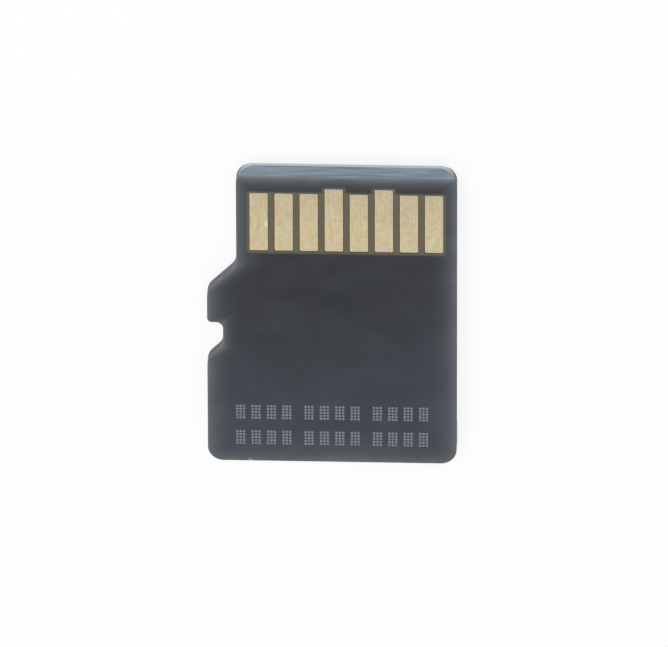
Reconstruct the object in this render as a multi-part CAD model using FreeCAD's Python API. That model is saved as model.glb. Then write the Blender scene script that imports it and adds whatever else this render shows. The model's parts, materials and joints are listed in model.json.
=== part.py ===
import FreeCAD, Part
import math
import os

# A memory card of the 11 by 15 mm size, lying with its contacts up. Millimetres throughout.
# X runs across the card, Y towards its contact end, Z out of the contact face.
# The origin is under the middle of the card, level with the outer face of the grip ridge.

# Outline of the card
card_width = 11.0
front_width = 9.7
card_length = 15.0
front_corner_radius = 0.8
rear_corner_radius = 0.7
# The most that one corner's arc takes of a side next to it
corner_share = 0.48

# Sloped shoulder between the narrow contact end and the wide rear
shoulder_reach = 6.3
shoulder_angle = 45.0
shoulder_radius = 0.8

# Latch notch behind the shoulder, with one square side and one sloped side
notch_reach = 7.9
notch_depth = 0.7
notch_floor_length = 1.2
notch_exit_angle = 45.0
notch_mouth_radius = 0.2
notch_floor_radius = 0.33
notch_exit_radius = 0.7

# Thickness of the card, of the board in it, and of the grip ridge on its label side
body_thickness = 0.7
board_thickness = 0.2
ridge_height = 0.3
contact_edge_radius = 0.08
label_edge_chamfer = 0.08

# Bevels that guide the contact end into a socket, one on each side of the nose
bevel_length = 0.5
bevel_depth = 0.3
label_bevel_length = 0.3
label_bevel_depth = 0.2

# Grip ridge along the rear edge, narrowest in the middle, with a sloped front wall
ridge_reach = 1.3
ridge_arc_radius = 30.0
ridge_slope = 0.2

# Contacts, counted from the notched side: supply and ground reach further forward and mate first
contact_roles = ("data_2", "data_3", "command", "supply", "clock", "ground", "data_0", "data_1")
early_roles = ("supply", "ground")
contact_pitch = 1.1
contact_width = 0.85
contact_length = 2.95
contact_reach = 1.25
early_contact_lead = 0.25
contact_corner_radius = 0.08
contact_thickness = 0.04
contact_recess = 0.03

# Memory chips, stacked in a step that leaves the lower chip's bond pads bare
flash_thickness = 0.1
flash_step = 0.4
flash_side_wall = 0.6
flash_rear_wall = 1.0

# Controller chip, nearer the contact end
controller_width = 3.6
controller_length = 1.9
controller_thickness = 0.1

# Bond fingers, the plated lands on the board's inner face
finger_width = 0.12
finger_thickness = 0.02
front_finger_reach = 1.0
front_finger_length = 0.3
front_finger_pitch = 0.8
shared_finger_length = 0.5
finger_to_chip = 0.5

# Bond wires, with a flat foot at each end and a low loop between
wire_size = 0.025
wire_foot = 0.06
wire_rise = 0.08
wire_loop_height = 0.06
bond_inset = 0.08
flash_wire_count = 14
flash_wire_pitch = 0.5
controller_rear_pitch = 0.2
controller_front_pitch = 0.35

# Capacitors, two on each side of the controller
capacitor_length = 0.6
capacitor_width = 0.3
capacitor_height = 0.3
capacitor_end = 0.15
capacitor_end_step = 0.01
capacitor_gap = 0.8
capacitor_spacing = 0.9

# Places that follow from the sizes above
front_y = card_length / 2
rear_y = -card_length / 2
right_x = card_width / 2
left_x = -card_width / 2
front_left_x = right_x - front_width
front_centre_x = right_x - front_width / 2
label_z = ridge_height
contact_face_z = ridge_height + body_thickness
board_z = contact_face_z - board_thickness
contact_z = contact_face_z - contact_recess - contact_thickness
front_finger_y = front_y - front_finger_reach - front_finger_length
controller_front_y = front_finger_y - finger_to_chip
controller_rear_y = controller_front_y - controller_length
shared_finger_y = controller_rear_y - finger_to_chip - shared_finger_length
flash_front_y = shared_finger_y - finger_to_chip
flash_width = front_width - 2 * flash_side_wall
flash_length = flash_front_y - flash_step - rear_y - flash_rear_wall


def along(count, pitch, centre):
    """Evenly spaced places about a centre."""
    first = centre - pitch * (count - 1) / 2
    return [first + pitch * index for index in range(count)]


def rounded_face(corners, z):
    """A flat face whose outline turns each corner (x, y, radius) on an arc that its sides have room for."""
    points = [FreeCAD.Vector(x, y, z) for x, y, radius in corners]
    bends = []
    for index, (x, y, radius) in enumerate(corners):
        corner = points[index]
        back = points[index - 1] - corner
        ahead = points[(index + 1) % len(points)] - corner
        half_turn = back.getAngle(ahead) / 2
        room = corner_share * min(back.Length, ahead.Length)
        reach = min(radius / math.tan(half_turn), room)
        bend = reach * math.tan(half_turn)
        middle = (back.normalize() + ahead.normalize()).normalize()
        apex = corner + middle * (bend / math.sin(half_turn) - bend)
        bends.append((corner + back * reach, apex, corner + ahead * reach))
    edges = []
    for index, (start, apex, end) in enumerate(bends):
        edges.append(Part.Arc(start, apex, end).toShape())
        edges.append(Part.LineSegment(end, bends[(index + 1) % len(bends)][0]).toShape())
    return Part.Face(Part.Wire(edges))


def card_slab(z_low, z_high):
    """The card's outline as a slab between two levels."""
    shoulder_run = (front_left_x - left_x) / math.tan(math.radians(shoulder_angle))
    shoulder_foot_y = front_y - shoulder_reach
    notch_mouth_y = front_y - notch_reach
    notch_floor_x = left_x + notch_depth
    notch_floor_end_y = notch_mouth_y - notch_floor_length
    notch_exit_y = notch_floor_end_y - notch_depth / math.tan(math.radians(notch_exit_angle))
    corners = [
        (right_x, front_y, front_corner_radius),
        (front_left_x, front_y, front_corner_radius),
        (front_left_x, shoulder_foot_y + shoulder_run, shoulder_radius),
        (left_x, shoulder_foot_y, shoulder_radius),
        (left_x, notch_mouth_y, notch_mouth_radius),
        (notch_floor_x, notch_mouth_y, notch_floor_radius),
        (notch_floor_x, notch_floor_end_y, notch_exit_radius),
        (left_x, notch_exit_y, notch_exit_radius),
        (left_x, rear_y, rear_corner_radius),
        (right_x, rear_y, rear_corner_radius),
    ]
    return rounded_face(corners, z_low).extrude(FreeCAD.Vector(0, 0, z_high - z_low))


def edges_at(solid, z):
    """The edges of a solid that lie at one level."""
    return [edge for edge in solid.Edges if all(abs(vertex.Z - z) < 1e-6 for vertex in edge.Vertexes)]


def block(x_middle, y_low, z_low, width, length, height):
    """A box placed by the middle of its width."""
    corner = FreeCAD.Vector(x_middle - width / 2, y_low, z_low)
    return Part.makeBox(width, length, height, corner)


def end_wedge(face_z, length, rise):
    """The space outside a bevel that leaves a face at the card's end, rising or falling towards the nose."""
    slope = FreeCAD.Vector(0, length, rise)
    start = FreeCAD.Vector(left_x, front_y - length, face_z)
    behind = start - slope
    ahead = start + slope * 2
    outer = FreeCAD.Vector(left_x, ahead.y, behind.z)
    face = Part.Face(Part.makePolygon([behind, ahead, outer, behind]))
    return face.extrude(FreeCAD.Vector(card_width, 0, 0))


def contact_bevel():
    """The space above the bevel on the contact side."""
    return end_wedge(contact_face_z, bevel_length, -bevel_depth)


def label_bevel():
    """The space under the bevel on the label side."""
    return end_wedge(label_z, label_bevel_length, label_bevel_depth)


def contact_plates():
    """Each contact's plate, by node name, at the floor of its window in the mask."""
    plates = {}
    rear_end_y = front_y - contact_reach - contact_length
    places = along(len(contact_roles), contact_pitch, front_centre_x)
    for number, (role, x) in enumerate(zip(contact_roles, places), start=1):
        lead = early_contact_lead if role in early_roles else 0.0
        front_end_y = rear_end_y + contact_length + lead
        side = contact_width / 2
        corners = [
            (x + side, front_end_y, contact_corner_radius),
            (x - side, front_end_y, contact_corner_radius),
            (x - side, rear_end_y, contact_corner_radius),
            (x + side, rear_end_y, contact_corner_radius),
        ]
        face = rounded_face(corners, contact_z)
        plates[f"contact_{number}_{role}"] = face.extrude(FreeCAD.Vector(0, 0, contact_thickness))
    return plates


def substrate_board(plates):
    """The laminate with its mask: rounded at the contact face, bevelled, with a window per contact."""
    slab = card_slab(board_z, contact_face_z)
    board = slab.makeFillet(contact_edge_radius, edges_at(slab, contact_face_z)).cut(contact_bevel())
    for plate in plates.values():
        floor = min(plate.Faces, key=lambda face: face.CenterOfMass.z)
        board = board.cut(floor.extrude(FreeCAD.Vector(0, 0, board_thickness)))
    return board


def chips():
    """The two memory chips and the controller, face down from the board's inner face."""
    lower_z = board_z - flash_thickness
    upper_z = lower_z - flash_thickness
    lower_rear_y = flash_front_y - flash_length
    return {
        "flash_die_lower": block(
            front_centre_x, lower_rear_y, lower_z, flash_width, flash_length, flash_thickness
        ),
        "flash_die_upper": block(
            front_centre_x, lower_rear_y - flash_step, upper_z, flash_width, flash_length, flash_thickness
        ),
        "controller_die": block(
            front_centre_x, controller_rear_y, board_z - controller_thickness,
            controller_width, controller_length, controller_thickness
        ),
    }


def finger_places():
    """The X places of the fingers shared by the memory and the controller, and of those at the front."""
    shared = along(flash_wire_count, flash_wire_pitch, front_centre_x)
    front = along(len(contact_roles), front_finger_pitch, front_centre_x)
    return shared, front


def bond_fingers():
    """All the bond fingers, as one group of separate lands."""
    shared, front = finger_places()
    z = board_z - finger_thickness
    lands = [
        block(x, shared_finger_y, z, finger_width, shared_finger_length, finger_thickness) for x in shared
    ]
    lands += [
        block(x, front_finger_y, z, finger_width, front_finger_length, finger_thickness) for x in front
    ]
    return Part.makeCompound(lands)


def bond_wire(start, end):
    """A square wire from one bond to another, laid on both and looped away from the board."""
    run = FreeCAD.Vector(end.x - start.x, end.y - start.y, 0)
    length = run.Length
    run.normalize()
    side = FreeCAD.Vector(-run.y, run.x, 0)
    drop = board_z - start.z
    land = board_z - end.z
    crest = max(drop, land) + wire_loop_height
    path = [
        (0, drop),
        (wire_foot, drop),
        (wire_foot + wire_rise, crest),
        (length - wire_foot, land),
        (length, land),
    ]
    outline = path + list(reversed(offset_path(path, wire_size)))
    base = FreeCAD.Vector(start.x, start.y, board_z) - side * (wire_size / 2)
    points = [base + run * distance - FreeCAD.Vector(0, 0, height) for distance, height in outline]
    return Part.Face(Part.makePolygon(points + points[:1])).extrude(side * wire_size)


def offset_path(path, offset):
    """A second line at one distance from a line of points, mitred at its corners."""
    slopes = [math.atan2(b[1] - a[1], b[0] - a[0]) for a, b in zip(path, path[1:])]
    shifted = []
    for index, (distance, height) in enumerate(path):
        before = slopes[max(index - 1, 0)]
        after = slopes[min(index, len(slopes) - 1)]
        direction = (before + after) / 2 + math.pi / 2
        reach = offset / math.cos((after - before) / 2)
        shifted.append((distance + reach * math.cos(direction), height + reach * math.sin(direction)))
    return shifted


def bond_wires():
    """The four groups of bond wires, by node name."""
    shared, front = finger_places()
    lower_z = board_z - flash_thickness
    upper_z = lower_z - flash_thickness
    controller_z = board_z - controller_thickness
    finger_z = board_z - finger_thickness
    upper_bond_y = flash_front_y - flash_step - bond_inset
    lower_bond_y = flash_front_y - bond_inset
    stitch_y = lower_bond_y - wire_foot
    flash_landing_y = shared_finger_y + bond_inset
    controller_landing_y = shared_finger_y + shared_finger_length - bond_inset
    rear_bond_y = controller_rear_y + bond_inset
    front_bond_y = controller_front_y - bond_inset
    front_landing_y = front_finger_y + bond_inset
    rear_bonds = along(len(shared), controller_rear_pitch, front_centre_x)
    front_bonds = along(len(front), controller_front_pitch, front_centre_x)
    routes = {
        "flash_wires_upper": [((x, upper_bond_y, upper_z), (x, stitch_y, lower_z)) for x in shared],
        "flash_wires_lower": [((x, lower_bond_y, lower_z), (x, flash_landing_y, finger_z)) for x in shared],
        "controller_wires_rear": [
            ((bond_x, rear_bond_y, controller_z), (x, controller_landing_y, finger_z))
            for bond_x, x in zip(rear_bonds, shared)
        ],
        "controller_wires_front": [
            ((bond_x, front_bond_y, controller_z), (x, front_landing_y, finger_z))
            for bond_x, x in zip(front_bonds, front)
        ],
    }
    groups = {}
    for name, pairs in routes.items():
        wires = [bond_wire(FreeCAD.Vector(*start), FreeCAD.Vector(*end)) for start, end in pairs]
        groups[name] = Part.makeCompound(wires)
    return groups


def capacitors():
    """Four capacitors, each a ceramic block between two slightly larger plated ends."""
    end_width = capacitor_width + 2 * capacitor_end_step
    end_height = capacitor_height + capacitor_end_step
    end_offset = (capacitor_length - capacitor_end) / 2
    side_offset = controller_width / 2 + capacitor_gap + capacitor_length / 2
    rows = along(2, capacitor_spacing, (controller_front_y + controller_rear_y) / 2)
    columns = along(2, 2 * side_offset, front_centre_x)
    pieces = {}
    for x in columns:
        for y in rows:
            body = block(
                x, y - capacitor_width / 2, board_z - capacitor_height,
                capacitor_length, capacitor_width, capacitor_height
            )
            ends = [
                block(end_x, y - end_width / 2, board_z - end_height, capacitor_end, end_width, end_height)
                for end_x in (x - end_offset, x + end_offset)
            ]
            pieces[f"capacitor_{len(pieces) + 1}"] = body.fuse(ends).removeSplitter()
    return pieces


def grip_ridge():
    """The rear strip of the card, down to the ridge's outer face, its front wall part of a cone."""
    axis = FreeCAD.Vector(0, rear_y + ridge_reach + ridge_arc_radius, 0)
    sloped_room = Part.makeCone(ridge_arc_radius + ridge_slope, ridge_arc_radius, ridge_height, axis)
    axis.z = label_z
    upright_room = Part.makeCylinder(ridge_arc_radius, board_z - label_z, axis)
    strip = card_slab(0.0, board_z).cut(sloped_room).cut(upright_room)
    return strip.makeChamfer(label_edge_chamfer, edges_at(strip, 0.0))


def mould_cap(buried):
    """The epoxy body, cast around everything on the board's inner face."""
    slab = card_slab(label_z, board_z)
    body = slab.makeChamfer(label_edge_chamfer, edges_at(slab, label_z))
    cap = body.fuse(grip_ridge()).removeSplitter()
    return cap.cut([contact_bevel(), label_bevel()]).cut(buried)


plates = contact_plates()
buried = {"bond_fingers": bond_fingers()}
buried.update(chips())
buried.update(bond_wires())
buried.update(capacitors())

nodes = {"substrate_board": substrate_board(plates), "mould_cap": mould_cap(list(buried.values()))}
nodes.update(plates)
nodes.update(buried)

os.makedirs("parts", exist_ok=True)
for name, shape in nodes.items():
    shape.exportStep(f"parts/{name}.step")
    print(name, len(shape.Solids), "solids", round(shape.Volume, 5), "mm3")
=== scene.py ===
# %% [markdown]
# A small memory card, seen from its contact side
#
# The card is a thin black board moulded into a black epoxy body. Eight gilded contacts lie in windows at
# its front end, a ground bevel leads it into its socket, and a step and a notch run down its left edge.
# The solids come from the CAD model at their real size, so this lesson only dresses them: it makes the
# plating and the laser marks as meshes, gives every piece its finish, and lights the card softly.

# %% Load the card
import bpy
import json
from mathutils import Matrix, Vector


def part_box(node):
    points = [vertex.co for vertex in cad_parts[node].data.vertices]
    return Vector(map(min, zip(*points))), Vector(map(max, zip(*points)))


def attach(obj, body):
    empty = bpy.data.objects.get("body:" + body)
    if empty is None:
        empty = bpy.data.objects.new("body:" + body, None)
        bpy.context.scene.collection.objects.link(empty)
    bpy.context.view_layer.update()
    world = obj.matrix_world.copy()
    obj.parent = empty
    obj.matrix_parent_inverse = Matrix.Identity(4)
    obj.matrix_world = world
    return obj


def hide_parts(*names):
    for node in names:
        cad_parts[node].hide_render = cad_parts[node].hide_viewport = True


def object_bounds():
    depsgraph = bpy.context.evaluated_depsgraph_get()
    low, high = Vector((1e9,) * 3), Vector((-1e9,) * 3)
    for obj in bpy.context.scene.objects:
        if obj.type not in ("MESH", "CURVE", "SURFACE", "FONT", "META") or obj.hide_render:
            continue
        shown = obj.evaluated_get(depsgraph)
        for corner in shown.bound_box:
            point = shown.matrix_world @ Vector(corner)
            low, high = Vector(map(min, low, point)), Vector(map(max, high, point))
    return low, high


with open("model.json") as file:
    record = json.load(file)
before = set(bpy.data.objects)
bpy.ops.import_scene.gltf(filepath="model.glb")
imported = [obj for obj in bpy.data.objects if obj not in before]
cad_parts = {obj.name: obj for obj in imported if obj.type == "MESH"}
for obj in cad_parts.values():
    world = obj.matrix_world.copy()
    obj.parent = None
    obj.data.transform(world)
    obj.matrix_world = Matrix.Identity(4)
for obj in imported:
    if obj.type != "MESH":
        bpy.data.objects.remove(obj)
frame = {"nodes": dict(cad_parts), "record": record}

cad_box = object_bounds()
print("CAD box in metres:", [tuple(corner) for corner in cad_box])

# %% [markdown]
# The sizes that the finishes follow
#
# A finish that follows an edge has to know where the edge is. Those places could be typed in again, but
# then they would drift from the CAD when it changes. They are read from the boxes of the CAD nodes
# instead, in millimetres, because the card's details are hundredths of a millimetre.

# %% Read the card's outline
import math

import bpy
from mathutils import Matrix, Vector

MM = 0.001  # one millimetre, in Blender's metres


def node_box(node):
    """The lowest and highest corner of a CAD node, in millimetres."""
    low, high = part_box(node)
    return low / MM, high / MM


card_low, card_high = (corner / MM for corner in cad_box)
board_low, board_high = node_box("substrate_board")
left_edge, rear_edge = card_low.x, card_low.y
right_edge, front_edge = card_high.x, card_high.y
face = card_high.z
print(f"card {right_edge - left_edge:.2f} x {front_edge - rear_edge:.2f} mm, contact face at {face:.2f} mm")

# %% Read the row of contacts
CONTACTS = [
    "contact_1_data_2",
    "contact_2_data_3",
    "contact_3_command",
    "contact_4_supply",
    "contact_5_clock",
    "contact_6_ground",
    "contact_7_data_0",
    "contact_8_data_1",
]
EARLY_CONTACTS = (3, 5)  # the supply and the ground contact, counted from 0

first_low, first_high = node_box(CONTACTS[0])
second_low, _ = node_box(CONTACTS[1])
_, last_high = node_box(CONTACTS[-1])
_, early_high = node_box(CONTACTS[EARLY_CONTACTS[0]])

contact_pitch = second_low.x - first_low.x
contact_width = first_high.x - first_low.x
early_lead = early_high.y - first_high.y
first_centre = (first_low.x + first_high.x) / 2
row_centre = (first_low.x + last_high.x) / 2
front_left_edge = 2 * row_centre - right_edge  # the row stands in the middle of the narrow front part
print(f"contacts {contact_width:.2f} mm wide, one every {contact_pitch:.2f} mm")
print(f"the long ones reach {early_lead:.2f} mm further")
print(f"front part from x {front_left_edge:.2f} to {right_edge:.2f} mm")

# %% [markdown]
# The camera
#
# The card fills less than half of the frame and shows no perspective, as under a long lens far away. An
# orthographic camera would draw the same picture, but a long lens also frames the other views well. The
# camera looks down from the contact end, turned a few degrees to the right. Its three axes are worked
# out from those angles, because a tracking constraint could not roll the picture.

# %% Place the camera
LENS = 1000  # millimetres, on the default 36 mm sensor
CAMERA_TILT = math.radians(31.01)  # from straight above, towards the contact end
CAMERA_SWING = math.radians(3.517)  # from the card's length, towards its right side
CAMERA_ROLL = math.radians(-0.162)
CAMERA_DISTANCE = 817.16  # mm
CAMERA_AIM = Vector((0.082, -0.548, 0.65))  # mm
CAMERA_CLIP = (0.1, 10.0)  # metres


def aim_axes(tilt, swing, roll):
    """The camera's right, up and backward directions."""
    back = Vector((math.sin(tilt) * math.sin(swing), math.sin(tilt) * math.cos(swing), math.cos(tilt)))
    right = Vector((0, 1, 0)).cross(back).normalized()
    up = back.cross(right)
    rolled_right = right * math.cos(roll) + up * math.sin(roll)
    rolled_up = up * math.cos(roll) - right * math.sin(roll)
    return rolled_right, rolled_up, back


camera = bpy.data.objects.new("camera", bpy.data.cameras.new("camera"))
bpy.context.scene.collection.objects.link(camera)
camera.data.lens = LENS
camera.data.clip_start, camera.data.clip_end = CAMERA_CLIP
camera_axes = aim_axes(CAMERA_TILT, CAMERA_SWING, CAMERA_ROLL)
camera_place = (CAMERA_AIM + camera_axes[2] * CAMERA_DISTANCE) * MM
camera.matrix_world = Matrix.Translation(camera_place) @ Matrix(camera_axes).transposed().to_4x4()
bpy.context.scene.camera = camera
bpy.context.scene.view_settings.view_transform = "Standard"
print("camera at", [round(value / MM, 1) for value in camera_place], "mm")

# %% [markdown]
# Writing nodes as sums
#
# A finish is easier to read as a formula than as a picture of boxes and noodles. The small class below
# stands for one output of a node: adding, subtracting, multiplying or dividing it puts a Math node in its
# tree. Every other node comes from one method, which sets the node's own settings first and its sockets
# afterwards, because some settings change which sockets there are.

# %% Wrap one socket
class Wire:
    """One output socket. Arithmetic on it adds Math nodes to its tree."""

    def __init__(self, bench, socket):
        self.bench = bench
        self.socket = socket

    def out(self, name):
        """Another output of the same node."""
        return Wire(self.bench, self.socket.node.outputs[name])

    def __add__(self, other):
        return self.bench.maths("ADD", self, other)

    def __sub__(self, other):
        return self.bench.maths("SUBTRACT", self, other)

    def __rsub__(self, other):
        return self.bench.maths("SUBTRACT", other, self)

    def __mul__(self, other):
        return self.bench.maths("MULTIPLY", self, other)

    def __truediv__(self, other):
        return self.bench.maths("DIVIDE", self, other)

    def __rtruediv__(self, other):
        return self.bench.maths("DIVIDE", other, self)

    def __abs__(self):
        return self.bench.maths("ABSOLUTE", self)

    __radd__ = __add__
    __rmul__ = __mul__


print("a socket adds, subtracts, multiplies and divides")


# %% Wire a tree
class Bench:
    """A node tree that is being wired."""

    def __init__(self, tree):
        self.tree = tree

    def node(self, kind, settings=None, sockets=None, output=0):
        """Add a node: its settings first, then the values or wires of its sockets."""
        made = self.tree.nodes.new(kind)
        for name, value in (settings or {}).items():
            setattr(made, name, value)
        for name, value in (sockets or {}).items():
            for part in value if isinstance(value, list) else [value]:
                if isinstance(part, Wire):
                    self.tree.links.new(part.socket, made.inputs[name])
                else:
                    made.inputs[name].default_value = part
        return Wire(self, made.outputs[output]) if made.outputs else None

    def maths(self, operation, *values):
        """A Math node on wires and numbers."""
        return self.node("ShaderNodeMath", {"operation": operation}, dict(enumerate(values)))

    def smallest(self, first, *others):
        """The smallest of several values."""
        for other in others:
            first = self.maths("MINIMUM", first, other)
        return first

    def largest(self, first, *others):
        """The largest of several values."""
        for other in others:
            first = self.maths("MAXIMUM", first, other)
        return first

    def length(self, x, y):
        """The straight way from zero to a place x, y."""
        return self.maths("SQRT", x * x + y * y)

    def span(self, share, low, high):
        """A number between low and high."""
        return low + share * (high - low)

    def ramp(self, value, start, end):
        """0 before start, 1 after end, and an even S-shaped rise between them."""
        limits = {"Value": value, "From Min": start, "From Max": end}
        return self.node("ShaderNodeMapRange", {"interpolation_type": "SMOOTHSTEP"}, limits)

    def fade(self, distance, reach):
        """1 at no distance, fading slower and slower with it."""
        return self.maths("EXPONENT", distance * (-1 / reach))

    def blend(self, share, first, second):
        """A colour between two colours. A Mix node takes colours in sockets 6 and 7, and gives one in 2."""
        return self.node("ShaderNodeMix", {"data_type": "RGBA"}, {0: share, 6: first, 7: second}, output=2)

    def dim(self, colour, share):
        """A colour made darker, or brighter by a share above 1."""
        return self.node("ShaderNodeVectorMath", {"operation": "SCALE"}, {0: colour, "Scale": share})


print("a tree is wired by its bench")

# %% [markdown]
# Colours and grain
#
# Colours are easiest to judge as screen values from 0 to 255, but shaders add light, which screen values
# do not do, so a helper turns one into the other. Another starts each finish on an empty tree and gives
# the surface's place in millimetres, from Object coordinates, so that one pattern runs on across
# neighbouring pieces. Grain is Blender's soft noise, stretched to the full range from 0 to 1.

# %% Start a finish
def tone(red, green, blue):
    """A shader colour from screen values of 0 to 255, by the curve that screens follow."""
    parts = [value / 255 for value in (red, green, blue)]
    linear = [part / 12.92 if part <= 0.04045 else ((part + 0.055) / 1.055) ** 2.4 for part in parts]
    return (*linear, 1.0)


def empty_bench(owner):
    """A bench for the tree of a material or of the world, with no node on it yet."""
    owner.use_nodes = True
    owner.node_tree.nodes.clear()
    return Bench(owner.node_tree)


def start_finish(name):
    """A new material, its bench, and the surface's place in millimetres."""
    material = bpy.data.materials.new(name)
    bench = empty_bench(material)
    metres = bench.node("ShaderNodeTexCoord", output="Object")
    place = bench.node("ShaderNodeMapping", {}, {"Vector": metres, "Scale": (1 / MM, 1 / MM, 1 / MM)})
    return material, bench, place


def axes(bench, place):
    """The surface's x, y and z, one wire each."""
    split = bench.node("ShaderNodeSeparateXYZ", {}, {0: place})
    return split, split.out("Y"), split.out("Z")


print("a mid grey of 128 is", round(tone(128, 128, 128)[0], 3), "to a shader")

# %% Grain and finish a surface
NOISE_SPAN = (0.3, 0.7)  # soft noise hardly ever leaves this range


def grain(bench, place, per_mm, detail, stretch=(1.0, 1.0, 1.0)):
    """Noise from 0 to 1, with a number of grains to the millimetre; a small stretch draws them out long."""
    scaled = bench.node("ShaderNodeMapping", {}, {"Vector": place, "Scale": stretch})
    noise = bench.node("ShaderNodeTexNoise", {}, {"Vector": scaled, "Scale": per_mm, "Detail": detail})
    return bench.ramp(noise, *NOISE_SPAN)


def shifted(bench, place, by):
    """A place moved by some millimetres, so that another part of the endless noise falls on it."""
    return bench.node("ShaderNodeMapping", {}, {"Vector": place, "Location": by})


def relief(bench, height, depth):
    """A bump of a depth in millimetres."""
    return bench.node("ShaderNodeBump", {}, {"Strength": 1.0, "Distance": depth * MM, "Height": height})


def finish_surface(bench, **sockets):
    """End a finish in one Principled shader."""
    named = {name.replace("_", " "): value for name, value in sockets.items()}
    surface = bench.node("ShaderNodeBsdfPrincipled", {}, named)
    bench.node("ShaderNodeOutputMaterial", {}, {"Surface": surface})


print("noise between", NOISE_SPAN, "is stretched to 0 and 1")

# %% [markdown]
# The painted sheen at the rim
#
# The black face is painted a little paler from its edges inwards, a painted sheen of light along its
# outline. The distance to the nearest edge could be painted on the mesh, but the mesh has few points
# inside the face.
# A formula for the outline works at every point: two rounded boxes for the narrow and the wide part, and
# slanted lines for the step between them and for the notch's way out. No node's box shows where the step,
# the notch and the bevel are, so these few sizes are the CAD's own, written once more.

# %% Measure the distance from the rim
OUTLINE_CORNER = 0.75  # mm, halfway between the radii of the front and the rear corners
STEP_FOOT = 1.2  # where the slanted step meets the wide part's edge, mm along the card
NOTCH_DEPTH = 0.7  # mm
NOTCH_FRONT = -0.4  # the notch's front wall, mm along the card
NOTCH_FOOT = -2.3  # where its slanted side meets the edge, mm along the card
BEVEL_LENGTH = 0.5  # mm
FRONT_CRISPNESS = 1.5  # the pale rim fades faster behind the bevel than at the long edges
CUT_IN_CRISPNESS = 2.0  # and faster still at the step and the notch

bevel_start = front_edge - BEVEL_LENGTH


def past_slant(x, y, foot):
    """Millimetres inwards from a line at 45 degrees that meets the card's left edge at its foot."""
    return (x - y - (left_edge - foot)) * math.sqrt(0.5)


def inside_round_box(bench, x, y, left):
    """Millimetres inwards from a box with round corners, between a left edge and the card's other edges."""
    past_x = abs(x - (left + right_edge) / 2) - ((right_edge - left) / 2 - OUTLINE_CORNER)
    past_y = abs(y - (rear_edge + front_edge) / 2) - ((front_edge - rear_edge) / 2 - OUTLINE_CORNER)
    past_corner = bench.length(bench.largest(past_x, 0.0), bench.largest(past_y, 0.0))
    return OUTLINE_CORNER - past_corner - bench.smallest(bench.largest(past_x, past_y), 0.0)


def rim_distance(bench, place):
    """Millimetres from the nearest edge of the contact face, counted faster where the pale rim is narrow.
    """
    x, y, _ = axes(bench, place)
    step = past_slant(x, y, STEP_FOOT) * CUT_IN_CRISPNESS
    wide_part = bench.smallest(inside_round_box(bench, x, y, left_edge), step)
    outline = bench.largest(inside_round_box(bench, x, y, front_left_edge), wide_part)
    notch = bench.largest(x - (left_edge + NOTCH_DEPTH), y - NOTCH_FRONT, past_slant(x, y, NOTCH_FOOT))
    front = (bevel_start - y) * FRONT_CRISPNESS
    return bench.largest(bench.smallest(outline, notch * CUT_IN_CRISPNESS, front), 0.0)


print(f"the contact face ends at the bevel, y {bevel_start:.2f} mm")

# %% [markdown]
# The ground bevel and the cut edges
#
# Cards are moulded many to a sheet and cut apart by a thin jet of water and grit, which can follow the
# step and the notch, and then the nose is ground to a bevel. Both cuts go through board and body alike and
# leave them paler, so the two share these finishes: the jet leaves faint upright ripples, the grinding
# wheel scores across the card. The upright nose at the front end is painted paler still, a painted
# highlight along the front edge. The bevel is found by its distance from the plane of the grind, and the
# cut edges by the surface's own direction and place: they are upright and they lie on the outline, which
# the moulded ridge on the label side and the walls of the contacts' windows do not.

# %% Find the cut surfaces
GRIND_EDGE = 0.006  # mm from the plane of the grind within which a point is on the bevel
GRIND_FADE = 0.12  # mm over which the grind sets in, from the face towards the nose
NOSE_REACH = 0.7  # mm of the upright edges behind the nose that are ground too, and carry the painted highlight
UPRIGHT_SPAN = (0.3, 0.7)  # an edge is upright while its direction rises less than this
OUTLINE_SPAN = (0.4, 0.5)  # and on the outline while it lies less than this inside it, mm

bevel_drop = (face - board_low.z) / (board_high.y - bevel_start)


def cut_shares(bench, place, rim):
    """How far a point is on the bevel, on the nose and on the cut edges, from 0 to 1 each."""
    _, y, z = axes(bench, place)
    off_plane = abs((y - bevel_start) * bevel_drop + (z - face)) / math.hypot(bevel_drop, 1)
    on_plane = 1 - bench.ramp(off_plane, 0.0, GRIND_EDGE)
    bevel = on_plane * bench.ramp(y, bevel_start - GRIND_EDGE, bevel_start + GRIND_FADE)
    direction = bench.node("ShaderNodeTexCoord", output="Normal")
    _, _, rise = axes(bench, direction)
    upright = 1 - bench.ramp(abs(rise), *UPRIGHT_SPAN)
    edge = upright * (1 - bench.ramp(rim, *OUTLINE_SPAN))
    nose = edge * bench.ramp(y, front_edge - NOSE_REACH, front_edge)
    return bevel, nose, edge


print(f"the bevel falls {bevel_drop:.3f} mm to the millimetre")

# %% Colour the cut surfaces
GROUND_PALE = tone(128, 144, 157)
GROUND_GREY = tone(104, 117, 128)
# The next colour is a painted highlight along the nose at the card's front edge.
NOSE_PAINTED_HIGHLIGHT = tone(184, 193, 198)
SCORES = {"per_mm": 9.0, "detail": 4.0, "stretch": (0.06, 1.0, 1.0)}
RIPPLES = {"per_mm": 10.0, "detail": 4.0, "stretch": (1.0, 1.0, 0.15)}


def cut_finish(bench, place, rim, edge_dark, edge_pale):
    """The cut surfaces' colour, how far a point is on them or ground, and the height of the scores."""
    bevel, nose, edge = cut_shares(bench, place, rim)
    scores = grain(bench, place, **SCORES)
    ground_colour = bench.blend(scores, GROUND_GREY, GROUND_PALE)
    # Painted highlight: the nose is painted paler than the ground bevel.
    ground_colour = bench.blend(nose, ground_colour, NOSE_PAINTED_HIGHLIGHT)
    edge_colour = bench.blend(grain(bench, place, **RIPPLES), edge_dark, edge_pale)
    ground = bench.largest(bevel, nose)
    colour = bench.blend(ground, edge_colour, ground_colour)
    return colour, bench.largest(edge, bevel), ground, scores


print("scores run across the card, ripples up and down its edges")
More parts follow.
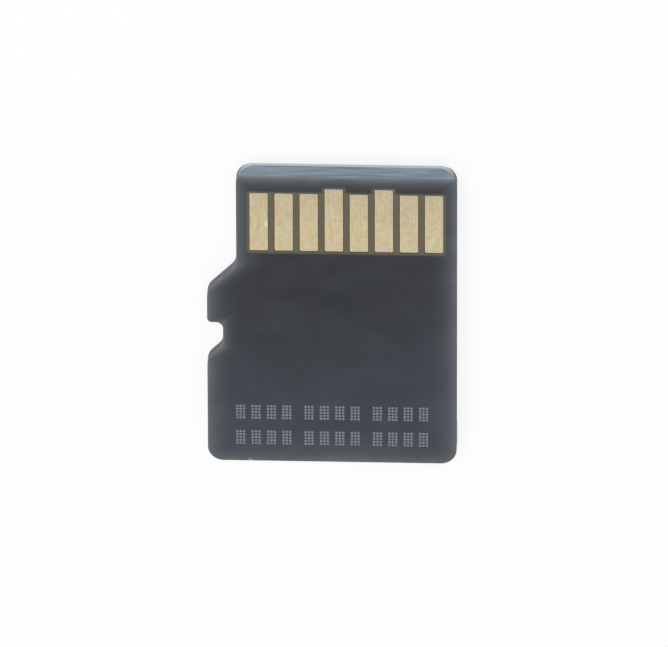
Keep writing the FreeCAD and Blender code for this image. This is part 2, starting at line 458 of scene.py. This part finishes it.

# %% [markdown]
# The black mask
#
# The contact side is a board under black solder mask: a thin satin lacquer, dark slate under soft light,
# with a fine orange peel. A flat black would look like a hole, so the colour varies in patches and wiping
# has left faint smears. The face is also painted lighter towards its rear end and paler near its rim, a
# painted sheen. Round the contacts the lacquer is thin, and the copper under it tints it brown. At one spot
# on the rear edge it is worn through to the pale laminate.

# %% Find the places where the mask differs
COPPER_SPREAD = (0.0, 0.16)  # mm outside the contacts between which the tint fades
WORN_SPOT = (-3.62, -7.44)  # mm
WORN_SPOT_SIZE = (0.02, 0.16)  # mm, at its core and at its edge


def spot_share(bench, x, y, middle, sizes, drawn_out=1.0):
    """1 inside a spot, 0 outside it. The spot is round, or drawn out along the card."""
    return 1 - bench.ramp(bench.length(x - middle[0], (y - middle[1]) / drawn_out), *sizes)


def past_box(bench, x, y, low, high):
    """Millimetres outside a box between two corners, seen from above."""
    past_x = bench.largest(low.x - x, x - high.x, 0.0)
    past_y = bench.largest(low.y - y, y - high.y, 0.0)
    return bench.length(past_x, past_y)


def copper_share(bench, x, y):
    """1 between the contacts, fading to 0 away from their row and from the long contacts' ends."""
    boxes = [(first_low, last_high)] + [node_box(CONTACTS[number]) for number in EARLY_CONTACTS]
    distances = [past_box(bench, x, y, *corners) for corners in boxes]
    return 1 - bench.ramp(bench.smallest(*distances), *COPPER_SPREAD)


print("the lacquer is worn through at", WORN_SPOT, "mm")

# %% Mix the mask's colour
MASK_DARK = tone(35, 38, 41)
# The next colour is a painted sheen: the face is painted lighter towards its rear end.
MASK_REAR_SHEEN = tone(54, 59, 68)
MASK_PATCH = tone(43, 45, 53)
# The next colour is the painted sheen near the rim, and also the colour of the real wiping smears.
MASK_SHEEN_AND_SMEAR = tone(95, 100, 105)
MASK_OVER_COPPER = tone(94, 89, 73)
WORN_SPOT_PALE = tone(128, 142, 164)
MASK_NOISE_PLACE = (13.0, -5.0, 0.0)  # mm, the part of the endless noise that looks right on the face
CLOUD = {"per_mm": 0.6, "detail": 4.0}
PATCHES = {"per_mm": 0.45, "detail": 5.0, "stretch": (0.7, 1.3, 1.0)}
SMEARS = {"per_mm": 0.7, "detail": 6.0, "stretch": (0.6, 1.2, 1.0)}
SMEAR_SPAN = (0.4, 1.0)  # only the noise's upper part is a smear
SMEAR_SHARE = 0.05
RIM_SHEEN_REACH = 0.4  # mm over which the painted sheen at the rim fades
RIM_SHEEN_SPREAD = (0.85, 1.15)
REAR_SHEEN_SPREAD = (0.8, 1.2)
REAR_SHEEN_FADE = (-7.0, 2.0)  # the painted sheen towards the rear fades out between these places along the card, mm


def mask_colour(bench, place, rim):
    """The lacquer's colour on the face, with painted sheen near the rim and towards the rear."""
    x, y, _ = axes(bench, place)
    in_noise = shifted(bench, place, MASK_NOISE_PLACE)
    cloud = grain(bench, in_noise, **CLOUD)
    smears = bench.ramp(grain(bench, in_noise, **SMEARS), *SMEAR_SPAN)
    # Painted sheen: the face is painted paler near its rim.
    wear_and_sheen = bench.fade(rim, RIM_SHEEN_REACH) * bench.span(cloud, *RIM_SHEEN_SPREAD)
    # Painted sheen: the face is painted lighter towards its rear end.
    rear_sheen = (1 - bench.ramp(y, *REAR_SHEEN_FADE)) * bench.span(cloud, *REAR_SHEEN_SPREAD)
    colour = bench.blend(grain(bench, in_noise, **PATCHES), MASK_DARK, MASK_PATCH)
    colour = bench.blend(rear_sheen, colour, MASK_REAR_SHEEN)
    colour = bench.blend(copper_share(bench, x, y), colour, MASK_OVER_COPPER)
    # The painted sheen at the rim and the real wiping smears share one pale colour.
    colour = bench.blend(bench.largest(wear_and_sheen, smears * SMEAR_SHARE), colour, MASK_SHEEN_AND_SMEAR)
    return bench.blend(spot_share(bench, x, y, WORN_SPOT, WORN_SPOT_SIZE), colour, WORN_SPOT_PALE)


# What fades here is the painted sheen at the rim.
print("the mask's wear fades over", RIM_SHEEN_REACH, "mm")

# %% Make the mask's finish
LAMINATE_DARK = tone(90, 92, 94)
LAMINATE_PALE = tone(110, 113, 115)
PEEL = {"per_mm": 11.0, "detail": 2.0}
PEEL_DEPTH = 0.0006  # mm
MASK_ROUGHNESS = (0.47, 0.53)
GROUND_ROUGHNESS = 0.08  # how much rougher the grind is
SATIN_SPECULAR = 0.25


def make_mask_finish():
    """Satin lacquer on the face, bare laminate where it is cut or ground."""
    material, bench, place = start_finish("black_mask")
    rim = rim_distance(bench, place)
    peel = grain(bench, place, **PEEL)
    cut_colour, cut, ground, scores = cut_finish(bench, place, rim, LAMINATE_DARK, LAMINATE_PALE)
    colour = bench.blend(cut, mask_colour(bench, place, rim), cut_colour)
    height = peel * (1 - ground) + scores * ground
    rough = bench.span(peel, *MASK_ROUGHNESS) + GROUND_ROUGHNESS * ground
    finish_surface(
        bench,
        Base_Color=colour,
        Roughness=rough,
        Specular_IOR_Level=SATIN_SPECULAR,
        Normal=relief(bench, height, PEEL_DEPTH),
    )
    return material


mask_finish = make_mask_finish()
print("black mask finish:", len(mask_finish.node_tree.nodes), "nodes")

# %% [markdown]
# The moulded epoxy
#
# The body is epoxy filled with fine glass, cast in a mould whose walls were spark-eroded. That leaves an
# even, dry grain on the label side, a touch warmer and rougher than the mask. The colour is paler in a
# thin line along the outline. Its edges are cut and its nose is ground with the board's.

# %% Make the epoxy's finish
EPOXY_DARK = tone(34, 35, 37)
EPOXY_LIGHT = tone(52, 53, 55)
EPOXY_RIM = tone(86, 89, 92)
EPOXY_RIM_REACH = 0.1  # mm over which the paler line fades
EPOXY_EDGE_DARK = tone(88, 92, 96)
EPOXY_EDGE_PALE = tone(104, 109, 114)
SPARK = {"per_mm": 16.0, "detail": 3.0}
EPOXY_CLOUD = {"per_mm": 0.5, "detail": 3.0}
SPARK_DEPTH = 0.0012  # mm
EPOXY_ROUGHNESS = (0.58, 0.68)


def make_epoxy_finish():
    """A dry even grain, paler along the outline and where it is cut or ground."""
    material, bench, place = start_finish("moulded_epoxy")
    spark = grain(bench, place, **SPARK)
    cloud = grain(bench, place, **EPOXY_CLOUD)
    rim = rim_distance(bench, place)
    cut_colour, cut, ground, scores = cut_finish(bench, place, rim, EPOXY_EDGE_DARK, EPOXY_EDGE_PALE)
    colour = bench.blend((spark + cloud) / 2, EPOXY_DARK, EPOXY_LIGHT)
    colour = bench.blend(bench.fade(rim, EPOXY_RIM_REACH), colour, EPOXY_RIM)
    colour = bench.blend(cut, colour, cut_colour)
    height = spark * (1 - ground) + scores * ground
    finish_surface(
        bench,
        Base_Color=colour,
        Roughness=bench.span(spark, *EPOXY_ROUGHNESS),
        Specular_IOR_Level=SATIN_SPECULAR,
        Normal=relief(bench, height, SPARK_DEPTH),
    )
    return material


epoxy_finish = make_epoxy_finish()
print("moulded epoxy finish:", len(epoxy_finish.node_tree.nodes), "nodes")

# %% [markdown]
# The gilded contacts' finish
#
# The contacts are copper, plated with nickel and a thin hard gold, which looks pale and slightly grey
# beside jewellery. A flat yellow would look like paint, so its hue drifts: yellower where the gold is
# thick, greyer where the nickel shows through, and pink or green where it has tarnished. Sockets' springs
# leave fine lines along the card, each contact is brighter towards its rear end and greyer at its front
# end, and one contact has a bright scuff. The contacts' mesh carries an attribute that tells how far a
# point is from its contact's front end.

# %% Choose the gold's colours
GOLD_YELLOW = tone(195, 179, 136)
GOLD_GREY = tone(190, 178, 156)
GOLD_PINK = tone(199, 175, 148)
GOLD_GREEN = tone(186, 182, 144)
GOLD_FRONT = tone(178, 172, 156)
GOLD_SCUFF = tone(226, 217, 192)
PLATING = {"per_mm": 1.3, "detail": 3.0}
TARNISH = {"per_mm": 1.7, "detail": 3.0}
TARNISH_SHARE = 0.5
GOLD_NOISE_PLACE = (-17.0, -23.0, 0.0)  # mm, chosen for its looks, as the mask's is


def gold_hue(bench, place):
    """The gold's colour before wear."""
    in_noise = shifted(bench, place, GOLD_NOISE_PLACE)
    plated = bench.blend(grain(bench, in_noise, **PLATING), GOLD_GREY, GOLD_YELLOW)
    tarnished = bench.blend(grain(bench, in_noise, **TARNISH), GOLD_GREEN, GOLD_PINK)
    return bench.blend(TARNISH_SHARE, plated, tarnished)


print("tarnish has a share of", TARNISH_SHARE, "in the gold's hue")

# %% Make the gold finish
SPRING_LINES = {"per_mm": 20.0, "detail": 4.0, "stretch": (1.0, 0.06, 1.0)}
BLOTCHES = {"per_mm": 5.0, "detail": 4.0}
SHINE = (0.89, 1.14)  # between the dullest and the brightest places
REAR_LIFT_SPAN = (0.2, 2.8)  # mm from the front end over which the brightening sets in
REAR_LIFT = (-0.15, 0.15)  # how far it shifts the shine, duller in front and brighter at the rear
FRONT_FADE = (0.03, 0.2)  # mm of greyer colour at each front end
LINE_DEPTH = 0.0002  # mm
SCUFF = (-2.88, 4.68)  # mm
SCUFF_SIZE = (0.0, 0.12)  # mm, at its core and at its edge
SCUFF_LENGTHS = 2.2  # how many times longer than wide it is
GOLD_ROUGHNESS = (0.33, 0.47)


def make_gold_finish():
    """Pale gold that drifts in hue, with spring lines, greyer front ends and one scuff."""
    material, bench, place = start_finish("hard_gold")
    x, y, _ = axes(bench, place)
    lines = grain(bench, place, **SPRING_LINES)
    wear_and_sheen = (lines + grain(bench, place, **BLOTCHES)) / 2
    to_front = bench.node("ShaderNodeAttribute", {"attribute_name": "to_front_mm"}, output="Fac")
    rear_lift = bench.span(bench.ramp(to_front, *REAR_LIFT_SPAN), *REAR_LIFT)
    colour = bench.dim(gold_hue(bench, place), bench.span(wear_and_sheen + rear_lift, *SHINE))
    colour = bench.blend(1 - bench.ramp(to_front, *FRONT_FADE), colour, GOLD_FRONT)
    scuffed = spot_share(bench, x, y, SCUFF, SCUFF_SIZE, SCUFF_LENGTHS)
    colour = bench.blend(scuffed, colour, GOLD_SCUFF)
    rough = bench.span(wear_and_sheen, *GOLD_ROUGHNESS)
    bump = relief(bench, lines, LINE_DEPTH)
    finish_surface(bench, Base_Color=colour, Metallic=1.0, Roughness=rough, Normal=bump)
    return material


gold_finish = make_gold_finish()
print("hard gold finish:", len(gold_finish.node_tree.nodes), "nodes")

# %% [markdown]
# Trees with named inputs
#
# Geometry Nodes suit what repeats: one contact or one laser dot is drawn once and set on points. Each
# tree below gets its sizes through named inputs, so the same tree could dress another card. A modifier
# knows those inputs by their identifiers, so a helper looks these up, runs the tree once and returns a
# plain mesh, because only plain meshes travel on with the card.

# %% Start and end a Geometry Nodes tree
SOCKET_KINDS = {"mm": "NodeSocketFloat", "count": "NodeSocketInt", "finish": "NodeSocketMaterial"}


def start_tree(name, inputs):
    """A bench for a new tree, and its inputs as wires. Each input has a name, a kind and a value."""
    tree = bpy.data.node_groups.new(name, "GeometryNodeTree")
    for title, (kind, _) in inputs.items():
        tree.interface.new_socket(title, in_out="INPUT", socket_type=SOCKET_KINDS[kind])
    tree.interface.new_socket("Mesh", in_out="OUTPUT", socket_type="NodeSocketGeometry")
    bench = Bench(tree)
    given = bench.node("NodeGroupInput")
    return bench, {title: given.out(title) for title in inputs}


def end_tree(bench, instances, finish):
    """Make the instances real, give them their finish and hand them out."""
    real = bench.node("GeometryNodeRealizeInstances", {}, {"Geometry": instances})
    dressed = bench.node("GeometryNodeSetMaterial", {}, {"Geometry": real, "Material": finish})
    bench.node("NodeGroupOutput", {}, {"Mesh": dressed})


print("kinds of tree input:", ", ".join(SOCKET_KINDS))


# %% Run a Geometry Nodes tree
def run_tree(name, bench, inputs):
    """Run a tree once and return an object that holds its result as a plain mesh."""
    piece = bpy.data.objects.new(name, bpy.data.meshes.new(name))
    bpy.context.scene.collection.objects.link(piece)
    modifier = piece.modifiers.new(name, "NODES")
    modifier.node_group = bench.tree
    for socket in bench.tree.interface.items_tree:
        if socket.in_out == "INPUT":
            kind, value = inputs[socket.name]
            modifier[socket.identifier] = value * MM if kind == "mm" else value
    evaluated = piece.evaluated_get(bpy.context.evaluated_depsgraph_get())
    result = bpy.data.meshes.new_from_object(evaluated)
    piece.modifiers.remove(modifier)
    piece.data = result
    result.name = name
    return piece


print("a tree's result is kept as a plain mesh")

# %% [markdown]
# One contact
#
# A contact is a low pad with rounded corners in plan and edges that roll over where the plating wraps the
# copper. A bevelled box would do it, but its bevel would cut the corners unevenly. Here a flat grid of
# points is moved by rule: the points crowd towards the edges, the corner squares are pressed into quarter
# discs, and the height falls to the floor of the window over the last hundredths of a millimetre. The
# squares are cut along their shorter diagonals, so that no sliver at a corner lies flat on its twin below.

# %% Press a grid into the plan of a contact
CROWDING = 2.5  # how strongly the grid's points crowd towards the edges
TINY = 1e-9  # metres, keeps a division from meeting zero


def crowd(bench, unit):
    """Move a place between -1 and 1 towards the nearer end."""
    left_over = bench.maths("POWER", 1 - abs(unit), CROWDING)
    return bench.maths("SIGN", unit) * (1 - left_over)


def round_plan(bench, u, v, half_x, half_y, radius):
    """A grid point's place in a plan with round corners, and its distance from the edge."""
    flat_x = abs(crowd(bench, u)) * half_x
    flat_y = abs(crowd(bench, v)) * half_y
    over_x = flat_x - (half_x - radius)
    over_y = flat_y - (half_y - radius)
    in_x = bench.largest(over_x, 0.0)
    in_y = bench.largest(over_y, 0.0)
    reach = bench.largest(in_x, in_y)
    press = reach / bench.largest(bench.length(in_x, in_y), TINY)
    plan_x = bench.maths("SIGN", u) * (bench.smallest(flat_x, half_x - radius) + in_x * press)
    plan_y = bench.maths("SIGN", v) * (bench.smallest(flat_y, half_y - radius) + in_y * press)
    to_edge = radius - reach - bench.smallest(bench.largest(over_x, over_y), 0.0)
    return plan_x, plan_y, to_edge


print("points crowd by a power of", CROWDING)

# %% Draw one contact
GRID_ACROSS = 21  # points
GRID_ALONG = 29  # points
GRID_SPAN = 2.0  # from -1 to 1, both ways
WELD = 1e-7  # metres, closer points are one


def two_sheets(bench):
    """A flat grid and the same grid turned over, one unit below it."""
    spread = {
        "Size X": GRID_SPAN,
        "Size Y": GRID_SPAN,
        "Vertices X": GRID_ACROSS,
        "Vertices Y": GRID_ALONG,
    }
    top = bench.node("GeometryNodeMeshGrid", {}, spread)
    turned = bench.node("GeometryNodeFlipFaces", {}, {"Mesh": top})
    under = bench.node("GeometryNodeTransform", {}, {"Geometry": turned, "Translation": (0, 0, -1)})
    return bench.node("GeometryNodeJoinGeometry", {}, {"Geometry": [top, under]})


def draw_pad(bench, sizes, length):
    """A closed pad, its rear end at the origin, its underside on the window's floor."""
    u, v, sheet = axes(bench, bench.node("GeometryNodeInputPosition"))
    half_x = sizes["Width"] / 2
    half_y = length / 2
    x, y, to_edge = round_plan(bench, u, v, half_x, half_y, sizes["Corner radius"])
    rolled = 1 - bench.smallest(to_edge / sizes["Edge roll"], 1.0)
    rise = bench.maths("SQRT", bench.largest(1 - rolled * rolled, 0.0)) * sizes["Thickness"] * (1 + sheet)
    noted = bench.node(
        "GeometryNodeStoreNamedAttribute",
        {"data_type": "FLOAT", "domain": "POINT"},
        {"Geometry": two_sheets(bench), "Name": "to_front_mm", "Value": (half_y - y) / MM},
    )
    moved = bench.node("ShaderNodeCombineXYZ", {}, {"X": x, "Y": y + half_y, "Z": rise})
    shaped = bench.node("GeometryNodeSetPosition", {}, {"Geometry": noted, "Position": moved})
    closed = bench.node("GeometryNodeMergeByDistance", {}, {"Geometry": shaped, "Distance": WELD})
    split = bench.node("GeometryNodeTriangulate", {"quad_method": "SHORTEST_DIAGONAL"}, {"Mesh": closed})
    return bench.node("GeometryNodeSetShadeSmooth", {}, {"Geometry": split})


print("one contact has", 4 * (GRID_ACROSS - 1) * (GRID_ALONG - 1), "triangles")

# %% [markdown]
# The row of contacts
#
# Eight contacts stand side by side. The supply and the ground contact reach further forward, so that they
# touch first when the card goes in. Both lengths are drawn, and each point of the row picks one of them by
# its number. The piece takes the place of the CAD contacts, and its sizes come from their boxes.

# %% Wire the row of contacts
CORNER_RADIUS = 0.08  # mm
EDGE_ROLL = 0.03  # mm
SAME_NUMBER = 0.1  # numbers that differ by less are the same

contact_inputs = {
    "Contacts": ("count", len(CONTACTS)),
    "Pitch": ("mm", contact_pitch),
    "Width": ("mm", contact_width),
    "Length": ("mm", first_high.y - first_low.y),
    "Early lead": ("mm", early_lead),
    "Thickness": ("mm", first_high.z - first_low.z),
    "Corner radius": ("mm", CORNER_RADIUS),
    "Edge roll": ("mm", EDGE_ROLL),
    "First x": ("mm", first_centre),
    "Rear y": ("mm", first_low.y),
    "Floor z": ("mm", first_low.z),
    "Gold": ("finish", gold_finish),
}


def early_share(bench, number):
    """1 where a contact's number is that of a long contact, 0 elsewhere."""
    matches = [bench.maths("COMPARE", number, early, SAME_NUMBER) for early in EARLY_CONTACTS]
    return bench.largest(*matches)


def set_on(bench, points, selection, shape):
    """Set a shape on the selected points."""
    sockets = {"Points": points, "Selection": selection, "Instance": shape}
    return bench.node("GeometryNodeInstanceOnPoints", {}, sockets)


def wire_contact_row():
    """The tree that sets short and long contacts on one line of points."""
    bench, sizes = start_tree("contact_row", contact_inputs)
    corner = {"X": sizes["First x"], "Y": sizes["Rear y"], "Z": sizes["Floor z"]}
    start = bench.node("ShaderNodeCombineXYZ", {}, corner)
    stride = bench.node("ShaderNodeCombineXYZ", {}, {"X": sizes["Pitch"]})
    line = {"Count": sizes["Contacts"], "Start Location": start, "Offset": stride}
    row = bench.node("GeometryNodeMeshLine", {}, line)
    early = early_share(bench, bench.node("GeometryNodeInputIndex"))
    short_ones = set_on(bench, row, 1 - early, draw_pad(bench, sizes, sizes["Length"]))
    long_ones = set_on(bench, row, early, draw_pad(bench, sizes, sizes["Length"] + sizes["Early lead"]))
    both = bench.node("GeometryNodeJoinGeometry", {}, {"Geometry": [short_ones, long_ones]})
    end_tree(bench, both, sizes["Gold"])
    return bench


contact_bench = wire_contact_row()
print("contact row tree:", len(contact_bench.tree.nodes), "nodes")

# %% Make the contact plating
plating = run_tree("contact_plating", contact_bench, contact_inputs)
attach(plating, "root")
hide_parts(*CONTACTS)
print("contact plating:", len(plating.data.polygons), "faces")

# %% [markdown]
# The laser marks
#
# The rear of the face carries two faint rows of laser marks. Here they are plain blocks of dots, all
# alike, which say nothing: a laser burns each dot a little paler than the lacquer and a few thousandths of
# a millimetre proud. A dot is a low blunt cone, a block is dots on a grid, and a row is blocks on a line,
# so one tree draws hundreds of dots.

# %% Make the burnt finish of the marks
BURNT_DARK = tone(106, 112, 117)
BURNT_PALE = tone(128, 134, 139)
BURN = {"per_mm": 6.0, "detail": 3.0}
BURNT_ROUGHNESS = (0.64, 0.72)


def make_burnt_finish():
    """Lacquer that a laser has turned pale and dry."""
    material, bench, place = start_finish("burnt_lacquer")
    burn = grain(bench, place, **BURN)
    colour = bench.blend(burn, BURNT_DARK, BURNT_PALE)
    rough = bench.span(burn, *BURNT_ROUGHNESS)
    finish_surface(bench, Base_Color=colour, Roughness=rough, Specular_IOR_Level=SATIN_SPECULAR)
    return material


burnt_finish = make_burnt_finish()
print("burnt lacquer finish:", len(burnt_finish.node_tree.nodes), "nodes")

# %% Lay out the marks
DOT_RISE = 0.006  # mm
DOT_SUNK = DOT_RISE / 3  # mm of a dot below the face
BLOCKS_IN_ROW = 12
BLOCK_PITCH = 0.68  # mm
BLOCKS_IN_GROUP = 4
GROUP_GAP = 0.3  # mm

group_gaps = (BLOCKS_IN_ROW - 1) // BLOCKS_IN_GROUP
row_length = (BLOCKS_IN_ROW - 1) * BLOCK_PITCH + group_gaps * GROUP_GAP
mark_inputs = {
    "Dots across": ("count", 3),
    "Dots along": ("count", 5),
    "Dot pitch": ("mm", 0.15),
    "Dot width": ("mm", 0.135),
    "Dot top": ("mm", 0.11),
    "Dot rise": ("mm", DOT_RISE),
    "Rows": ("count", 2),
    "Row step": ("mm", 1.31),
    "Blocks in row": ("count", BLOCKS_IN_ROW),
    "Block pitch": ("mm", BLOCK_PITCH),
    "Group size": ("count", BLOCKS_IN_GROUP),
    "Group gap": ("mm", GROUP_GAP),
    "First x": ("mm", -row_length / 2),
    "First y": ("mm", -4.95),
    "Face z": ("mm", face - DOT_SUNK),
    "Burnt": ("finish", burnt_finish),
}
print("each row of marks is", round(row_length, 2), "mm long")

# %% Wire the marks
DOT_SIDES = 8
HALF_STEP = 0.5  # added to a whole number, so that its share of a row rounds down safely


def dot_block(bench, sizes):
    """A block of low round dots on a grid."""
    cone = {
        "Vertices": DOT_SIDES,
        "Radius Top": sizes["Dot top"] / 2,
        "Radius Bottom": sizes["Dot width"] / 2,
        "Depth": sizes["Dot rise"],
    }
    grid = {
        "Size X": sizes["Dot pitch"] * (sizes["Dots across"] - 1),
        "Size Y": sizes["Dot pitch"] * (sizes["Dots along"] - 1),
        "Vertices X": sizes["Dots across"],
        "Vertices Y": sizes["Dots along"],
    }
    dot = bench.node("GeometryNodeMeshCone", {"fill_type": "NGON"}, cone)
    return set_on(bench, bench.node("GeometryNodeMeshGrid", {}, grid), True, dot)


def block_places(bench, sizes):
    """One point for each block, row after row, with a gap after each group."""
    number = bench.node("GeometryNodeInputIndex")
    row = bench.maths("FLOOR", (number + HALF_STEP) / sizes["Blocks in row"])
    in_row = number - row * sizes["Blocks in row"]
    group = bench.maths("FLOOR", (in_row + HALF_STEP) / sizes["Group size"])
    x = sizes["First x"] + in_row * sizes["Block pitch"] + group * sizes["Group gap"]
    y = sizes["First y"] - row * sizes["Row step"]
    place = bench.node("ShaderNodeCombineXYZ", {}, {"X": x, "Y": y, "Z": sizes["Face z"]})
    count = sizes["Rows"] * sizes["Blocks in row"]
    return bench.node("GeometryNodePoints", {}, {"Count": count, "Position": place})


def wire_marks():
    """The tree that sets blocks of dots in rows on the face."""
    bench, sizes = start_tree("laser_marks", mark_inputs)
    blocks = set_on(bench, block_places(bench, sizes), True, dot_block(bench, sizes))
    end_tree(bench, blocks, sizes["Burnt"])
    return bench


mark_bench = wire_marks()
print("laser marks tree:", len(mark_bench.tree.nodes), "nodes")

# %% Make the laser marks
marks = run_tree("laser_marks", mark_bench, mark_inputs)
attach(marks, "root")
print("laser marks:", len(marks.data.polygons), "faces")

# %% [markdown]
# The pieces inside
#
# The epoxy hides the chips, their bond wires and the capacitors, but they are part of the card and show
# as soon as someone cuts it open, so they get real finishes too: polished silicon with a faint grid of
# memory blocks, drawn gold wire, gilded bond fingers, and ceramic capacitors with tinned ends.

# %% Make the silicon finish
SILICON_DARK = tone(58, 62, 74)
SILICON_LIGHT = tone(88, 92, 108)
MEMORY_BLOCK = 0.9  # mm
MEMORY_STREET = 0.06  # mm
STREET_SHARE = 0.5
HAZE = {"per_mm": 2.0, "detail": 3.0}
HAZE_SHARE = 0.25
SILICON_METALLIC = 0.6
SILICON_ROUGHNESS = (0.14, 0.2)


def make_silicon_finish():
    """Polished silicon, hazy, with paler streets between its memory blocks."""
    material, bench, place = start_finish("polished_silicon")
    x, y, _ = axes(bench, place)
    haze = grain(bench, place, **HAZE)
    to_street = bench.smallest(*(bench.maths("PINGPONG", axis, MEMORY_BLOCK / 2) for axis in (x, y)))
    street = 1 - bench.ramp(to_street, MEMORY_STREET / 2, MEMORY_STREET)
    colour = bench.blend(HAZE_SHARE * haze + STREET_SHARE * street, SILICON_DARK, SILICON_LIGHT)
    rough = bench.span(haze, *SILICON_ROUGHNESS)
    finish_surface(bench, Base_Color=colour, Metallic=SILICON_METALLIC, Roughness=rough)
    return material


silicon_finish = make_silicon_finish()
print("polished silicon finish:", len(silicon_finish.node_tree.nodes), "nodes")

# %% Make the bond wires' finish
WIRE_DEEP = tone(206, 160, 74)
WIRE_GOLD = tone(226, 186, 96)
DRAWN = {"per_mm": 25.0, "detail": 3.0}
WIRE_ROUGHNESS = (0.25, 0.32)


def make_wire_finish():
    """Pure gold, yellower than the contacts' hard gold."""
    material, bench, place = start_finish("drawn_gold")
    drawn = grain(bench, place, **DRAWN)
    colour = bench.blend(drawn, WIRE_DEEP, WIRE_GOLD)
    finish_surface(bench, Base_Color=colour, Metallic=1.0, Roughness=bench.span(drawn, *WIRE_ROUGHNESS))
    return material


wire_finish = make_wire_finish()
print("drawn gold finish:", len(wire_finish.node_tree.nodes), "nodes")

# %% Make the capacitors' finish
CERAMIC_DARK = tone(150, 118, 84)
CERAMIC = tone(176, 144, 108)
TIN = tone(188, 190, 192)
SPECKLE = {"per_mm": 12.0, "detail": 3.0}
CERAMIC_ROUGHNESS = (0.4, 0.52)
TIN_EDGE = (0.15, 0.16)  # mm from a capacitor's middle, where its ceramic ends and its tin begins

capacitor_low, capacitor_high = node_box("capacitor_1")
capacitor_offset = abs((capacitor_low.x + capacitor_high.x) / 2 - row_centre)


def make_capacitor_finish():
    """Speckled ceramic between tinned ends, the same on both sides of the centre line."""
    material, bench, place = start_finish("tinned_ceramic")
    x, _, _ = axes(bench, place)
    speckle = grain(bench, place, **SPECKLE)
    tinned = bench.ramp(abs(abs(x - row_centre) - capacitor_offset), *TIN_EDGE)
    colour = bench.blend(tinned, bench.blend(speckle, CERAMIC_DARK, CERAMIC), TIN)
    rough = bench.span(speckle, *CERAMIC_ROUGHNESS)
    finish_surface(bench, Base_Color=colour, Metallic=tinned, Roughness=rough)
    return material


capacitor_finish = make_capacitor_finish()
print(f"tinned ceramic finish, {capacitor_offset:.2f} mm from the centre line")

# %% [markdown]
# Dressing the pieces
#
# Each node of the card could get its finish by name, but such a list would have to follow every change of
# the CAD. The record that comes with the CAD already names a material slot for each node, so a node takes
# the finish of its slot: epoxy, mask, hard gold, drawn gold, silicon or ceramic.

# %% Dress the CAD nodes
FINISHES = {
    "mould_epoxy": epoxy_finish,
    "board_mask": mask_finish,
    "contact_gold": gold_finish,
    "bond_gold": wire_finish,
    "silicon": silicon_finish,
    "capacitor_ceramic": capacitor_finish,
}

for subpart in frame["record"]["subparts"]:
    for material_slot in frame["nodes"][subpart["node"]].material_slots:
        material_slot.material = FINISHES[subpart["material_slot"]]
print("dressed", len(frame["nodes"]), "nodes in", len(FINISHES), "finishes")

# %% [markdown]
# Floor and light
#
# A card like this is shot on white under a large soft light. The world lights it evenly, and shows itself
# as plain white to the camera and to glossy surfaces, so that gold has something pale to mirror. The floor
# does the same but keeps part of its own shading, and with it the card's soft shadow. One soft box at the
# front left lights the bevel and the cut edges beside it, and another from the rear left lifts the rest.

# %% Light the card from all around
WORLD_LIGHT = 0.7
WHITE = (1.0, 1.0, 1.0, 1.0)


def seen_directly(bench):
    """1 for rays that show the background: from the camera, off gloss or through glass."""
    path = bench.node("ShaderNodeLightPath", output="Is Camera Ray")
    return bench.largest(path, path.out("Is Glossy Ray"), path.out("Is Transmission Ray"))


world = bpy.data.worlds.new("soft_white")
bpy.context.scene.world = world
world_bench = empty_bench(world)
strength = world_bench.span(seen_directly(world_bench), WORLD_LIGHT, 1.0)
sky = world_bench.node("ShaderNodeBackground", {}, {"Color": WHITE, "Strength": strength})
world_bench.node("ShaderNodeOutputWorld", {}, {"Surface": sky})
print("world light", WORLD_LIGHT)

# %% Lay the floor
FLOOR_SHARE = 0.85  # share of plain white in what the camera sees of the floor
FLOOR_WHITE = tone(245, 245, 245)
FLOOR_HALF = 0.5  # metres


def make_floor_finish():
    """Plain white, with part of the shading of a matt floor."""
    material = bpy.data.materials.new("white_floor")
    bench = empty_bench(material)
    shaded = bench.node("ShaderNodeBsdfDiffuse", {}, {"Color": FLOOR_WHITE})
    plain = bench.node("ShaderNodeEmission", {}, {"Color": WHITE, "Strength": 1.0})
    shares = {0: FLOOR_SHARE * seen_directly(bench), 1: shaded, 2: plain}
    mixed = bench.node("ShaderNodeMixShader", {}, shares)
    bench.node("ShaderNodeOutputMaterial", {}, {"Surface": mixed})
    return material


floor_mesh = bpy.data.meshes.new("floor")
signs = [(-1, -1), (1, -1), (1, 1), (-1, 1)]
floor_corners = [(x * FLOOR_HALF, y * FLOOR_HALF, card_low.z * MM) for x, y in signs]
floor_mesh.from_pydata(floor_corners, [], [(0, 1, 2, 3)])
floor_mesh.materials.append(make_floor_finish())
floor = bpy.data.objects.new("floor", floor_mesh)
bpy.context.scene.collection.objects.link(floor)
print("floor at", round(card_low.z, 3), "mm")

# %% Hang the soft boxes
SOFT_BOXES = {
    "front_soft_box": {"degrees_round": 205, "degrees_up": 58, "away": 0.30, "wide": 0.16, "watts": 0.30},
    "rear_soft_box": {"degrees_round": -60, "degrees_up": 50, "away": 0.35, "wide": 0.20, "watts": 0.15},
}


def hang_soft_box(name, degrees_round, degrees_up, away, wide, watts):
    """A square lamp that faces the card, sized in metres, its angle counted from the rear by the right."""
    lamp = bpy.data.objects.new(name, bpy.data.lights.new(name, "AREA"))
    bpy.context.scene.collection.objects.link(lamp)
    lamp.data.shape = "SQUARE"
    lamp.data.size = wide
    lamp.data.energy = watts
    swing = math.radians(degrees_round)
    rise = math.radians(degrees_up)
    towards = Vector((math.sin(swing) * math.cos(rise), -math.cos(swing) * math.cos(rise), math.sin(rise)))
    turn = towards.to_track_quat("Z", "Y").to_matrix().to_4x4()
    lamp.matrix_world = Matrix.Translation(towards * away) @ turn


for name, setting in SOFT_BOXES.items():
    hang_soft_box(name, **setting)
print("soft boxes:", ", ".join(SOFT_BOXES))

# %% [markdown]
# The card's size
#
# Dressing must not make the card grow, apart from the few thousandths of a millimetre by which the marks
# stand proud.

# %% Finish
import json
